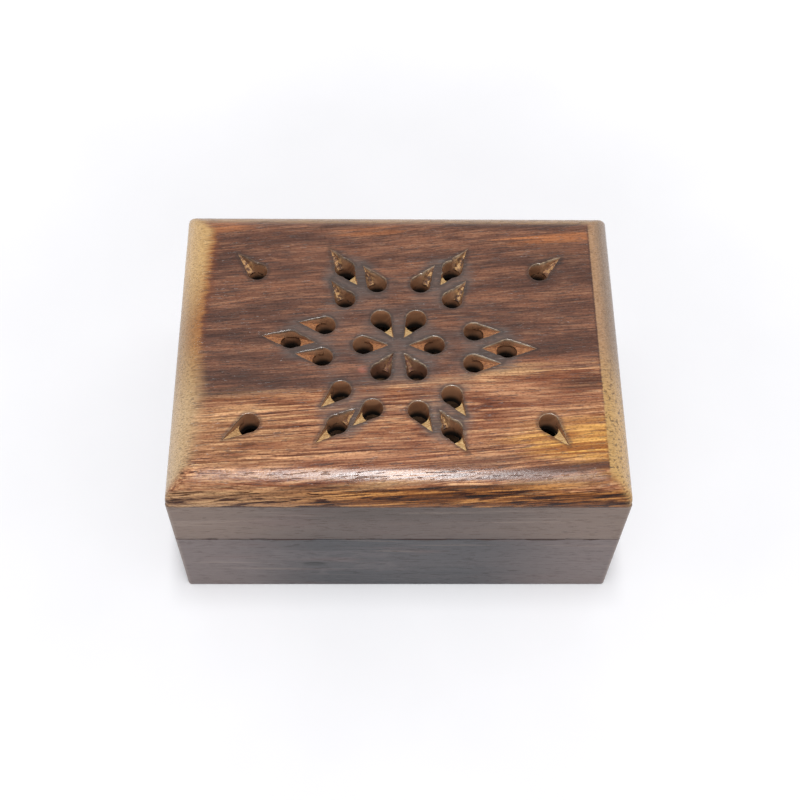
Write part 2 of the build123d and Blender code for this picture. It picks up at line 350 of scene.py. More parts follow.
# Floor, light and camera in mm, degrees, watts and pixels
FLOOR_HALF = 3000
FLOOR_CLOUD = 50
FLOOR_ROUGH = 0.9
FLOOR_GLOW = (90, 330, 0.03, 0.7)
WORLD_LEVEL = (0.2, 0.6, 1, 0.35)
LAMP_PLACE = (4, -130, 715)
LAMP_SIZE = (70, 420)
LAMP_WATTS = 3.6
CAMERA_PLACE = (-4.74, -165.67, 311.71)
CAMERA_TILT = 60.012
CAMERA_TURN = -1.879
CAMERA_ROLL = 1.742
CAMERA_NEAR = 10
FOCAL_PIXELS = 1362.8
IMAGE_PIXELS = 800
SENSOR = 36

# Grain of each wooden piece: turn in degrees, the tree's heart as (y, z) in mm, and seed
BOARD_GRAIN = (5, (-110, 10), 3.1)
LID_WALLS = (
    ("lid_front_rail", (1.5, (-50, -30), 5.3)),
    ("lid_back_rail", (-1, (60, -20), 6.9)),
    ("lid_left_rail", (91, (40, -10), 7.7)),
    ("lid_right_rail", (89, (-40, -30), 8.2)),
)
BASE_WALLS = (
    ("base_front_wall", (0.5, (-60, 60), 9.4)),
    ("base_back_wall", (1, (70, -40), 10.6)),
    ("base_left_wall", (90.5, (50, -50), 11.3)),
    ("base_right_wall", (89.5, (-70, -20), 12.8)),
    ("bottom_board", (2, (20, -60), 13.5)),
)
KNOTTED_WALL = "base_front_wall"


# Colours and nodes

def shade(colour):
    """A screen colour as the linear colour that a shader takes."""
    def linear(value):
        part = value / 255
        return part / 12.92 if part <= 0.04045 else ((part + 0.055) / 1.055) ** 2.4
    return tuple(linear(value) for value in colour) + (1.0,)


class Look:
    """One material's or world's nodes, added by short calls that read like a formula."""

    def __init__(self, owner):
        self.owner = owner
        self.owner.use_nodes = True
        self.tree = self.owner.node_tree
        self.tree.nodes.clear()

    def add(self, kind, *values, **settings):
        """A node with those settings, whose first inputs take those values."""
        node = self.tree.nodes.new(kind)
        for key, value in settings.items():
            setattr(node, key, value)
        for socket, value in zip(node.inputs, values):
            self.feed(socket, value)
        return node

    def feed(self, socket, value):
        if isinstance(value, bpy.types.NodeSocket):
            self.tree.links.new(value, socket)
        else:
            socket.default_value = value

    def math(self, operation, first, second=0.0):
        return self.add("ShaderNodeMath", first, second, operation=operation).outputs[0]

    def plus(self, *terms):
        result = terms[0]
        for term in terms[1:]:
            result = self.math("ADD", result, term)
        return result

    def minus(self, first, second):
        return self.math("SUBTRACT", first, second)

    def times(self, first, second):
        return self.math("MULTIPLY", first, second)

    def shares(self, *parts):
        """Adds values, each times its share."""
        return self.plus(*(self.times(value, share) for value, share in parts))

    def vector(self, operation, first, second=(0, 0, 0)):
        node = self.add("ShaderNodeVectorMath", first, second, operation=operation)
        return node.outputs["Value" if operation == "LENGTH" else "Vector"]

    def split(self, vector):
        return self.add("ShaderNodeSeparateXYZ", vector).outputs

    def join(self, x, y, z=0.0):
        return self.add("ShaderNodeCombineXYZ", x, y, z).outputs[0]

    def point(self):
        """The place on the object in mm."""
        node = self.add("ShaderNodeTexCoord")
        return self.vector("MULTIPLY", node.outputs["Object"], (1 / MM,) * 3)

    def facing(self):
        """The surface's own direction, which turns with the piece."""
        return self.split(self.add("ShaderNodeTexCoord").outputs["Normal"])

    def mark(self, name):
        """A value that the mesh carries at its points."""
        return self.add("ShaderNodeAttribute", attribute_name=name).outputs["Fac"]

    def noise(self, vector, detail=2.0, roughness=0.5):
        node = self.add("ShaderNodeTexNoise")
        self.feed(node.inputs["Vector"], vector)
        self.feed(node.inputs["Scale"], 1.0)
        self.feed(node.inputs["Detail"], detail)
        self.feed(node.inputs["Roughness"], roughness)
        return node.outputs["Fac"]

    def rise(self, value, low, high, start=0.0, end=1.0):
        """Goes smoothly from start at low to end at high."""
        values = (value, low, high, start, end)
        node = self.add("ShaderNodeMapRange", *values, interpolation_type="SMOOTHSTEP")
        return node.outputs["Result"]

    def swing(self, value, start, end):
        """Goes from start to end over the usual range of a noise."""
        return self.rise(value, *NOISE_RANGE, start, end)

    def mix(self, factor, first, second, blend="MIX"):
        """Mixes two colours, which are sockets or screen colours."""
        node = self.add("ShaderNodeMix", factor, data_type="RGBA", blend_type=blend)
        colours = [socket for socket in node.inputs if socket.type == "RGBA"]
        for socket, colour in zip(colours, (first, second)):
            self.feed(socket, shade(colour) if isinstance(colour, tuple) else colour)
        return next(socket for socket in node.outputs if socket.type == "RGBA")

    def ramp(self, value, *stops):
        node = self.add("ShaderNodeValToRGB", value)
        elements = node.color_ramp.elements
        while len(elements) < len(stops):
            elements.new(0.5)
        for element, (place, colour) in zip(elements, stops):
            element.position = place
            element.color = shade(colour)
        return node.outputs[0]

    def darken(self, colour, value, shades):
        """Multiplies a colour by the shades that a value runs through."""
        return self.mix(1.0, colour, self.ramp(value, *shades), "MULTIPLY")

    def bump(self, height, depth, below=None):
        """A relief of that depth in mm, on top of another one."""
        node = self.add("ShaderNodeBump")
        self.feed(node.inputs["Height"], height)
        self.feed(node.inputs["Distance"], depth * MM)
        self.feed(node.inputs["Strength"], 1.0)
        if below is not None:
            self.feed(node.inputs["Normal"], below)
        return node.outputs[0]

    def finish(self, **inputs):
        """Ends the material in one Principled shader; an input's underscores stand for spaces."""
        node = self.add("ShaderNodeBsdfPrincipled")
        for name, value in inputs.items():
            self.feed(node.inputs[name.replace("_", " ")], value)
        self.add("ShaderNodeOutputMaterial", node.outputs[0])
        return self.owner


# Wood

class Grain:
    """Streaks, lines and pores of one board, along X turned about Z, with year rings round the heart."""

    def __init__(self, look, turn, heart, seed):
        self.look = look
        self.seed = seed
        rotate = look.add("ShaderNodeMapping", look.point())
        look.feed(rotate.inputs["Rotation"], (0, 0, radians(-turn)))
        self.along = rotate.outputs[0]
        sway = look.rise(self.spread(self.along, *SWAY_MARK), *SWAY)
        self.waved = look.vector("ADD", self.along, look.join(0.0, sway, sway))
        from_heart = look.vector("SUBTRACT", self.waved, (0, heart[0], heart[1]))
        ring = look.vector("LENGTH", look.vector("MULTIPLY", from_heart, (0, 1, 1)))
        self.rings = look.join(look.split(self.waved)[0], ring, seed)
        self.add_marks()

    def add_marks(self):
        """The marks' noises, the lines and pores, and the tone that most of the colour follows."""
        look = self.look
        self.broad = self.spread(self.rings, *BROAD_MARK)
        self.streak = self.spread(self.rings, *STREAK_MARK)
        self.fibre = self.spread(self.waved, *FIBRE_MARK)
        self.short = self.spread(self.waved, *SHORT_MARK)
        self.dash = self.spread(self.waved, *DASH_MARK)
        self.flecks = self.spread(self.along, *FLECK_MARK)
        self.specks = self.spread(self.along, *SPECK_MARK)
        self.pores = look.rise(self.spread(self.waved, *PORE_MARK), *PORES)
        fading = look.rise(self.spread(self.waved, *FADE_MARK), *FADING)
        broken = look.rise(self.short, *BROKEN)
        fine = look.times(self.threads(FINE_THREADS), fading)
        coarse = look.times(self.threads(COARSE_THREADS), broken)
        self.lines = look.math("MAXIMUM", fine, coarse)
        tone = look.shares((self.streak, 0.3), (self.fibre, 0.4), (self.dash, 0.3))
        self.tone = look.plus(tone, look.swing(self.broad, *TONE_SWING))

    def spread(self, place, length, width, detail=2.0, roughness=0.5):
        """Noise whose marks have about that length and width in mm."""
        shifted = self.look.vector("MULTIPLY", place, (1 / length, 1 / width, 1 / width))
        shifted = self.look.vector("ADD", shifted, (self.seed, self.seed, self.seed))
        return self.look.noise(shifted, detail, roughness)

    def crossing(self, place, mark):
        """How far such a noise is from its middle, which is little along thin lines."""
        level = self.look.minus(self.spread(place, *mark), 0.5)
        return self.look.math("ABSOLUTE", level)

    def threads(self, mark):
        """Thin dark lines that run on and meet."""
        return self.look.rise(self.crossing(self.waved, mark), *THREADS)


def patch(look, grain, x, y, middle, reach, strength):
    """How much of a streaky patch on the board's top shows here."""
    across = look.minus(x, middle[0])
    up = look.plus(y, look.times(across, -GRAIN_SLOPE), -middle[1])
    away = look.join(look.times(across, 1 / reach[0]), look.times(up, 1 / reach[1]))
    ragged = look.swing(grain.streak, *PATCH_SWING)
    return look.rise(look.plus(look.vector("LENGTH", away), ragged), *PATCH_EDGE, strength)


def front_round(look, grain, x, y, z):
    """Golden brown wood low on the front's round, with thin dark lines that climb to the right."""
    climb = look.plus(y, z, look.times(x, -FRONT_SLOPE), look.swing(grain.broad, *CLIMB_SWING))
    face = look.join(x, climb, 0.0)
    tone = grain.spread(face, *LOW_MARK)
    low = look.ramp(tone, *LOW_TONES)
    left = look.ramp(tone, *LOW_LEFT_TONES)
    low = look.mix(look.rise(x, *LOW_LEFT_WOOD), low, left)
    width = look.rise(x, *LOW_LINE_WIDTH)
    lines = look.rise(grain.crossing(face, LOW_LINE_MARK), width, LOW_LINE_CORE)
    broken = look.rise(grain.spread(face, *LOW_BREAK_MARK), *LOW_BREAKS)
    return look.mix(look.times(lines, broken), low, LOW_LINE, "MULTIPLY")


def dark_wood(look, grain, fine):
    """The blotchy dark wood at the back, with pale hairlines."""
    blotch = grain.spread(grain.waved, *BLOTCH_MARK)
    calm = look.shares((fine, 0.6), (blotch, 0.4))
    dark = look.ramp(calm, *BACK_TONES)
    hair = look.rise(grain.crossing(grain.waved, HAIR_MARK), *HAIRS)
    shown = look.rise(blotch, *HAIRS_SHOWN)
    return look.mix(look.times(hair, shown), dark, HAIR)


def board_colour(look, grain, x, y, z):
    """Dark wood at the back, warm wood in front, golden low on the front's round."""
    wander = look.swing(grain.streak, *WOOD_SWING)
    back = look.rise(look.plus(y, look.times(x, -BACK_SLOPE), wander), *BACK_WOOD)
    front = look.rise(look.plus(y, look.times(wander, 0.6)), *LOW_WOOD)
    fine = look.shares((grain.tone, 0.5), (grain.short, 0.5))
    warm = look.ramp(grain.tone, *FRONT_TONES)
    warm = look.darken(warm, grain.fibre, FIBRE_SHADE)
    colour = look.mix(back, warm, dark_wood(look, grain, fine))
    grained = look.ramp(fine, *GRAIN_SHADE)
    for middle, reach, strength, tint in BOARD_PATCHES:
        amount = patch(look, grain, x, y, middle, reach, strength)
        tinted = look.mix(1.0, tint, grained, "MULTIPLY")
        colour = look.mix(amount, colour, tinted)
    lined = look.times(grain.lines, look.rise(back, *LINES_SHOWN))
    colour = look.mix(lined, colour, LINE, "MULTIPLY")
    colour = look.mix(front, colour, front_round(look, grain, x, y, z))
    colour = look.darken(colour, grain.specks, SPECK_SHADE)
    edge = look.ramp(grain.tone, *BACK_EDGE_TONES)
    return look.mix(look.rise(y, *BACK_EDGE_WOOD), colour, edge)


def mitre_share(look, x, y, waver):
    """How far a point lies on a rounded end, inside its mitres."""
    to_end = look.minus(HALF_LENGTH, look.math("ABSOLUTE", x))
    to_side = look.minus(HALF_DEPTH, look.math("ABSOLUTE", y))
    front_left = look.times(look.rise(y, *MITRE_FRONT), look.rise(x, *MITRE_LEFT))
    return look.rise(look.plus(look.minus(to_side, to_end), waver, front_left), *MITRE)


def left_end(look, y, left, front):
    """Red and orange where the left end begins, then pale wood, yellower at the back."""
    past_red = look.times(look.plus(left, look.times(front, LEFT_FRONT)), 0.14)
    tone = look.ramp(past_red, *END_LEFT_TONES)
    pale = look.mix(front, END_BACK, END_LIGHT)
    far_back = look.times(look.rise(y, *END_FAR_BACK), look.rise(left, *LEFT_PALE))
    return look.mix(look.plus(look.times(front, 0.5), far_back), tone, pale)


def right_end(look, grain, right, front):
    """Tan wood where the right end begins, then grey, yellow in front, with faint bands."""
    bands = grain.spread(look.vector("MULTIPLY", grain.along, END_BAND_STRETCH), *END_BAND_MARK)
    grey = look.mix(look.rise(right, *RIGHT_TAN), END_GREY, END_TAN)
    tone = look.mix(front, grey, END_YELLOW)
    return look.darken(tone, bands, BAND_SHADE)


def end_colour(look, grain, x, y, colour):
    """Paler wood on the rounded ends, where the grain is cut across and its pores are dots."""
    waver = look.plus(look.swing(grain.streak, *END_STREAKS), look.swing(grain.fibre, *END_FIBRES))
    on_end = mitre_share(look, x, y, waver)
    left = look.plus(look.times(x, -1.0), look.times(y, END_SLOPE), waver, -END_LEFT)
    right = look.plus(x, look.times(waver, 0.1), -END_RIGHT)
    front = look.rise(y, *END_FRONT)
    dots = look.rise(grain.spread(grain.along, *END_DOT_MARK), *END_DOTS)
    left_tone = look.darken(left_end(look, y, left, front), grain.dash, END_SHADE)
    left_tone = look.mix(look.times(dots, LEFT_DOTS), left_tone, PORE)
    right_tone = look.darken(right_end(look, grain, right, front), grain.dash, END_SHADE)
    dotted = look.times(dots, look.rise(front, *RIGHT_DOTS))
    right_tone = look.mix(dotted, right_tone, PORE)
    # Painted shade of a crease along the right end's edge, which the smooth round lacks; stronger at the
    # back
    depth = look.rise(front, *RIGHT_DARK)
    crease_shade = look.rise(look.math("ABSOLUTE", right), *RIGHT_CREASE_SHADE, depth)
    colour = look.mix(look.times(crease_shade, on_end), colour, BACK_DARK)
    start = look.rise(front, *LEFT_START)
    colour = look.mix(look.times(look.rise(left, start, LEFT_FULL), on_end), colour, left_tone)
    return look.mix(look.times(look.rise(right, *RIGHT_WOOD), on_end), colour, right_tone)


def stain_colour(look, grain, x, colour):
    """Grey stain round the carving, darker along the rims, and pale rims, partly wear and partly a painted
    highlight where they face forward.
    """
    near = look.mark("near")
    run = look.rise(grain.tone, *STAIN_RUNS)
    smear = look.plus(look.shares((near, 0.6), (look.mark("crowd"), 0.4)), run)
    colour = look.mix(look.rise(smear, *STAIN_REACH), colour, STAIN)
    # Darker along the rims
    rim = look.plus(near, look.times(run, 0.5))
    colour = look.mix(look.rise(rim, *RIM_DARK_REACH), colour, RIM_DARK)
    # Pale rims facing forward: partly wear, partly a painted highlight of the lamp
    flecked = look.rise(grain.flecks, *RIM_FLECKS)
    worn_highlight = look.times(look.rise(near, *RIM_HIGHLIGHT_REACH), flecked)
    worn_highlight = look.times(worn_highlight, look.rise(x, *RIM_HIGHLIGHT_RIGHT))
    forward = look.rise(look.facing()[1], *FORWARD)
    return look.mix(look.times(worn_highlight, forward), colour, RIM_WEAR_HIGHLIGHT)


def cut_colour(look, grain, x, y, z, colour):
    """Bare wood in the tails, pale, brown or torn by the way they run, and in the holes, with painted light
    on their walls and painted shade low down in the holes and deep tails.
    """
    forward = look.mark("pale")
    pale = look.ramp(grain.dash, *CUT_PALE_TONES)
    brown = look.ramp(grain.dash, *CUT_BROWN_TONES)
    ragged = look.ramp(grain.spread(grain.along, *TORN_MARK), *TORN_TONES)
    floor = look.mix(look.rise(forward, *CUT_BROWN), ragged, brown)
    floor = look.mix(look.rise(forward, *CUT_PALE), floor, pale)
    from_middle = look.vector("LENGTH", look.join(x, look.plus(y, PATTERN_FORWARD)))
    reddened = look.rise(from_middle, *RED_REACH)
    reddened = look.times(reddened, look.rise(forward, *CUT_REDDENED))
    floor = look.mix(reddened, floor, CUT_RED)
    # Painted shade low down in the holes and at the bottom of deep tails
    low = look.rise(z, *BORE_SHADE_DEPTHS)
    floor = look.mix(low, floor, BORE_SHADE)
    colour = look.mix(look.mark("fresh"), colour, floor)
    # Holes' walls with year rings, painted lighter to stand in for light falling on them
    wall = look.darken(BORE_LIT_BROWN, grain.streak, RING_SHADE)
    wall = look.mix(reddened, wall, CUT_RED)
    wall = look.mix(low, wall, BORE_SHADE)
    return look.mix(look.mark("bore"), colour, wall)


def board_relief(look, grain):
    """Pores and fibres over the board, but not along the rims, and torn floors in the tails."""
    fresh = look.mark("fresh")
    open_grain = look.math("MAXIMUM", look.rise(look.mark("near"), *OPEN_GRAIN), fresh)
    relief = look.bump(look.times(grain.pores, look.times(open_grain, -1.0)), PORE_DEPTH)
    relief = look.bump(look.times(grain.dash, open_grain), DASH_DEPTH, relief)
    relief = look.bump(look.times(grain.specks, open_grain), SPECK_DEPTH, relief)
    return look.bump(look.times(grain.flecks, fresh), TORN_DEPTH, relief)


def carved_wood():
    """The lid's board: streaky wood, stained round the carving and fresh where it is cut."""
    look = Look(bpy.data.materials.new("carved_wood"))
    grain = Grain(look, *BOARD_GRAIN)
    x, y, z = look.split(look.point())
    colour = board_colour(look, grain, x, y, z)
    colour = end_colour(look, grain, x, y, colour)
    fewer = look.rise(y, *END_PORES_LESS)
    at_end = look.rise(look.math("ABSOLUTE", x), *END_PORES, fewer)
    colour = look.mix(look.times(grain.pores, look.minus(BOARD_PORES, at_end)), colour, PORE)
    colour = stain_colour(look, grain, x, colour)
    colour = cut_colour(look, grain, x, y, z, colour)
    under = look.rise(z, *UNDER_WOOD)
    under = look.times(under, look.minus(1.0, look.mark("bore")))
    sawn = look.ramp(grain.tone, *BARE_TONES)
    colour = look.mix(look.times(under, UNDER_SHARE), colour, sawn)
    cut = look.math("MAXIMUM", look.mark("fresh"), look.mark("bore"))
    cut = look.math("MAXIMUM", cut, under)
    rough = look.plus(look.swing(grain.fibre, *BOARD_ROUGH), look.times(grain.pores, 0.2))
    rough = look.plus(rough, look.times(cut, CUT_ROUGH))
    relief = board_relief(look, grain)
    shine = look.rise(y, *DULL_LOW)
    return look.finish(Base_Color=colour, Roughness=rough, Normal=relief, Specular_IOR_Level=shine)


def knotted(look, grain, x, z, colour):
    """A small dark knot in a wall, with paler wood bent round it."""
    across = look.times(look.minus(x, KNOT_MIDDLE[0]), 1 / KNOT_REACH[0])
    up = look.times(look.minus(z, KNOT_MIDDLE[1]), 1 / KNOT_REACH[1])
    far = look.vector("LENGTH", look.join(across, up))
    bend = look.swing(grain.spread(grain.along, *KNOT_BEND_MARK), *KNOT_BEND)
    from_ring = look.math("ABSOLUTE", look.minus(look.plus(far, bend), KNOT_RING_AT))
    colour = look.mix(look.rise(from_ring, *KNOT_RING_EDGE), colour, KNOT_RING)
    return look.mix(look.rise(far, *KNOT_CORE), colour, KNOT)


def polished_wall(look, grain, from_corner, tones, ends):
    """Cloudy polished wood, lighter towards the corners, with pale bands and ruddy patches."""
    cloud = look.noise(look.vector("MULTIPLY", grain.along, WALL_CLOUD), 2.0)
    smooth = look.shares((grain.tone, 0.4), (grain.broad, 0.25), (cloud, 0.35))
    colour = look.ramp(smooth, *tones)
    colour = look.mix(look.rise(from_corner, *WALL_CORNER), colour, ends)
    band = look.rise(grain.spread(grain.rings, *WALL_BAND_MARK), *WALL_BANDS)
    colour = look.mix(band, colour, WORN)
    ruddy = look.rise(grain.spread(grain.waved, *WALL_RUDDY_MARK), *WALL_RUDDY)
    return look.mix(ruddy, colour, RUDDY)


def worn_edges(look, grain, in_x, in_y, from_seam, outside, colour):
    """Paler worn corners, and a dark uneven band along the seam on the outside: chips, and painted shade of
    the seam's gap.
    """
    corner = look.vector("LENGTH", look.join(in_x, in_y))
    uneven = look.plus(corner, look.times(grain.fibre, 1.2))
    colour = look.mix(look.rise(uneven, *WALL_WORN), colour, WORN)
    # A dark uneven band along the seam: chips, and painted shade of the seam's gap
    chips = look.rise(grain.spread(grain.along, *SEAM_CHIP_MARK), *SEAM_UNEVEN)
    seam_dark = look.rise(look.plus(from_seam, chips), *SEAM_DARK_REACH)
    return look.mix(look.times(seam_dark, outside), colour, SEAM_CHIPS_AND_SHADE)


def wall_wood(node, grain_of, tones, ends):
    """A wall's wood: polished outside, dark along the seam with chips and painted shade of its gap, and
    bare inside.
    """
    side, _ = node.rsplit("_", 1)
    look = Look(bpy.data.materials.new(side + "_wood"))
    grain = Grain(look, *grain_of)
    x, y, z = look.split(look.point())
    in_x = look.minus(HALF_LENGTH, look.math("ABSOLUTE", x))
    in_y = look.minus(HALF_DEPTH, look.math("ABSOLUTE", y))
    bare = look.rise(look.math("MINIMUM", in_x, in_y), *WALL_BARE)
    polished = polished_wall(look, grain, look.math("MAXIMUM", in_x, in_y), tones, ends)
    if node == KNOTTED_WALL:
        polished = knotted(look, grain, x, z, polished)
    small_knots = look.rise(grain.spread(grain.along, *WALL_KNOT_MARK), *WALL_KNOTS)
    polished = look.mix(small_knots, polished, PORE)
    sawn = look.ramp(grain.tone, *BARE_TONES)
    colour = look.mix(bare, polished, sawn)
    colour = look.mix(look.times(grain.pores, WALL_PORES), colour, PORE)
    from_seam = look.math("ABSOLUTE", look.minus(z, SEAM))
    colour = worn_edges(look, grain, in_x, in_y, from_seam, look.minus(1.0, bare), colour)
    rough = look.swing(grain.fibre, *WALL_ROUGH)
    rough = look.plus(rough, look.times(bare, BARE_ROUGH), look.times(grain.pores, 0.15))
    relief = look.bump(look.times(grain.pores, -1.0), WALL_PORE_DEPTH)
    relief = look.bump(grain.fibre, WALL_FIBRE_DEPTH, relief)
    return look.finish(Base_Color=colour, Roughness=rough, Normal=relief, Specular_IOR_Level=WALL_SHINE)


# Brass

def brass(name, seed, rough):
    """Handled brass: duller in patches, tarnished in specks and finely scratched."""
    look = Look(bpy.data.materials.new(name))
    point = look.vector("ADD", look.point(), (seed, seed, seed))
    cloud = look.noise(look.vector("MULTIPLY", point, BRASS_CLOUD), 4.0, 0.6)
    specks = look.noise(look.vector("MULTIPLY", point, BRASS_SPECKS), 3.0, 0.6)
    scratch = look.noise(look.vector("MULTIPLY", point, BRASS_SCRATCHES), 2.0)
    colour = look.ramp(cloud, *BRASS_TONES)
    colour = look.mix(look.rise(specks, *TARNISHED), colour, TARNISH)
    rough = look.plus(look.swing(cloud, rough + DULL_ROUGH, rough), look.times(scratch, SCRATCH_ROUGH))
    relief = look.bump(scratch, SCRATCH_DEPTH)
    return look.finish(Base_Color=colour, Metallic=1.0, Roughness=rough, Normal=relief)


# The carved pattern

class Drop:
    """One hole with its carved tails. place is its middle, and tails are (length, direction)."""

    def __init__(self, place, *tails):
        self.place = place
        self.tails = [(length, radians(direction)) for length, direction in tails]
        back = max(sin(direction) for _, direction in self.tails)
        self.torn = TORN_LEAST + (TORN_MOST - TORN_LEAST) * max(back, 0.0)

    def reach(self, angle, grow=0.0):
        """From the hole's middle to the outline, moved out by grow, along an angle."""
        far = HOLE_RADIUS + grow
        for length, direction in self.tails:
            turn = abs((angle - direction + pi) % tau - pi)
            touch = acos(HOLE_RADIUS / length)
            tip = atan2(grow * sin(touch), length + grow * cos(touch))
            if turn < tip:
                far = length * cos(turn) + sqrt(grow ** 2 - (length * sin(turn)) ** 2)
            elif turn < touch:
                far = (HOLE_RADIUS + grow) / cos(touch - turn)
        return far

    def spot(self, angle, distance):
        """The place that far from the hole's middle."""
        return self.place[0] + distance * cos(angle), self.place[1] + distance * sin(angle)

    def gap(self, x, y):
        """How far a point lies outside the outline."""
        across, up = x - self.place[0], y - self.place[1]
        least = hypot(across, up) - HOLE_RADIUS
        for length, direction in self.tails:
            along = across * cos(direction) + up * sin(direction)
            aside = abs(up * cos(direction) - across * sin(direction))
            lean = HOLE_RADIUS / length
            slope = sqrt(1 - lean ** 2)
            level = slope * along - lean * aside
            if level > slope * length:
                least = min(least, hypot(aside, along - length))
            elif level > 0:
                least = min(least, slope * aside + lean * along - HOLE_RADIUS)
        return least

    def floor(self, angle, distance):
        """Depth of the tail's sloping floor at a point, or of its meeting with the bore."""
        depth = 0.0
        for length, direction in self.tails:
            along = distance * cos(angle - direction)
            if along > 0:
                depth = max(depth, tail_depth(direction) * (1 - along / length))
        return max(depth, LEAST_FLOOR)

    def backward(self, angle):
        """How far the nearest tail runs to the back, from -1 where it runs forward to 1."""
        nearest = max(self.tails, key=lambda tail: cos(angle - tail[1]))
        return sin(nearest[1])

    def tone(self, angle):
        """How pale the cut is: dark where it runs to the back, pale where it runs forward."""
        return 0.5 - 0.5 * self.backward(angle)

    def scoop(self, angle):
        """How far a tail's walls lean, which is more where it runs to the back."""
        return max(self.backward(angle), 0.0)

    def angles(self):
        """Directions of the columns of points, close together along the tails."""
        found = []
        for length, direction in self.tails:
            touch = acos(HOLE_RADIUS / length)
            side = sqrt(length ** 2 - HOLE_RADIUS ** 2)
            steps = ceil(side / COLUMN)
            for step in range(steps + 1):
                away = side * step / steps
                turn = touch - atan2(side - away, HOLE_RADIUS)
                found.extend([(direction + touch - turn) % tau, (direction - touch + turn) % tau])
        steps = ceil(tau * HOLE_RADIUS / COLUMN)
        found.extend(tau * step / steps for step in range(steps))
        found.sort()
        least = radians(LEAST_TURN)
        return [a for a, b in zip(found, found[1:] + [found[0] + tau]) if b - a > least]


def tail_depth(direction):
    """How deep a tail's floor would be under the hole's middle; cuts across the grain go deeper."""
    back = sin(direction)
    deep = TAIL_DEPTH_BACKWARD if back > 0 else TAIL_DEPTH_FORWARD
    return TAIL_DEPTH_SIDEWAYS + (deep - TAIL_DEPTH_SIDEWAYS) * abs(back)


def polar(radius, angle):
    """A point of the pattern, given from the star's middle."""
    return radius * cos(radians(angle)), radius * sin(radians(angle)) - PATTERN_FORWARD


def star_drops():
    """The flower's drops, the three at each of the star's points and one in each corner."""
    drops = []
    for number in range(FLOWER_HOLES):
        angle = number * 360 / FLOWER_HOLES
        drops.append(Drop(polar(FLOWER_RING, angle), (FLOWER_TAIL, angle + 180)))
    for angle, lean in zip(POINT_ANGLES, POINT_LEANS):
        for side in (-SIDE_SPREAD, SIDE_SPREAD):
            drops.append(Drop(polar(SIDE_RING, angle + side), (SIDE_TAIL, angle + lean)))
        outward = angle + lean
        drops.append(Drop(polar(TIP_RING, angle), (TIP_TAIL_OUT, outward), (TIP_TAIL_IN, outward + 180)))
    for number, lean in enumerate(CORNER_LEANS):
        outward = 45 + 90 * number
        x = copysign(HALF_LENGTH - CORNER_INSET, cos(radians(outward)))
        y = copysign(HALF_DEPTH - CORNER_INSET, sin(radians(outward))) - PATTERN_FORWARD
        drops.append(Drop((x, y), (CORNER_TAIL, outward + lean)))
    return drops


# The carved board's mesh

def put(name, data):
    """A new object in the scene."""
    piece = bpy.data.objects.new(name, data)
    bpy.context.scene.collection.objects.link(piece)
    return piece


class BoardMesh:
    """Points, marks and faces in mm. A point that is given twice is kept once."""

    def __init__(self):
        self.points = []
        self.marks = {"near": [], "crowd": [], "fresh": [], "bore": [], "pale": []}
        self.faces = []
        self.known = {}

    def point(self, x, y, z, near=CLEAR, crowd=CLEAR, fresh=0.0, bore=0.0, pale=0.0):
        key = (round(x, 3), round(y, 3), round(z, 3))
        if key not in self.known:
            self.known[key] = len(self.points)
            self.points.append((x, y, z))
            for name, value in zip(self.marks, (near, crowd, fresh, bore, pale)):
                self.marks[name].append(value)
        return self.known[key]

    def face(self, *corners):
        kept = [c for c, after in zip(corners, corners[1:] + corners[:1]) if c != after]
        if len(set(kept)) == len(kept) >= 3:
            self.faces.append(kept)

    def strip(self, upper, lower):
        """Faces between two closed rings of points, which look outwards if the rings go round leftwards."""
        count = len(upper)
        for k in range(count):
            after = (k + 1) % count
            self.face(upper[k], lower[k], lower[after], upper[after])

    def build(self, name):
        mesh = bpy.data.meshes.new(name)
        mesh.from_pydata([Vector(p) * MM for p in self.points], [], self.faces)
        for mark, values in self.marks.items():
            layer = mesh.attributes.new(mark, "FLOAT", "POINT")
            layer.data.foreach_set("value", values)
        mesh.validate()
        mesh.shade_smooth()
        mesh.set_sharp_from_angle(angle=radians(SHARP))
        return put(name, mesh)


def torn(x, y, size):
    """Uneven height of torn wood, up to about one, at that size of fibre in mm."""
    return noise.noise(Vector((x / size, y / size, SEED)))


def torn_edge(drop, angle):
    """How far torn wood stands in over a tail's outline, but not over the hole."""
    edge = drop.reach(angle)
    uneven = max(TEAR_LEVEL + torn(*drop.spot(angle, edge), TEAR_SIZE), 0.0)
    return min(TEAR * drop.torn * uneven, edge - HOLE_RADIUS)


def chipping(drop, angle):
    """How much broader or finer a drop's rounded rim is there, from -1 to 1."""
    return torn(*drop.spot(angle, drop.reach(angle)), RIM_CHIP_SIZE)


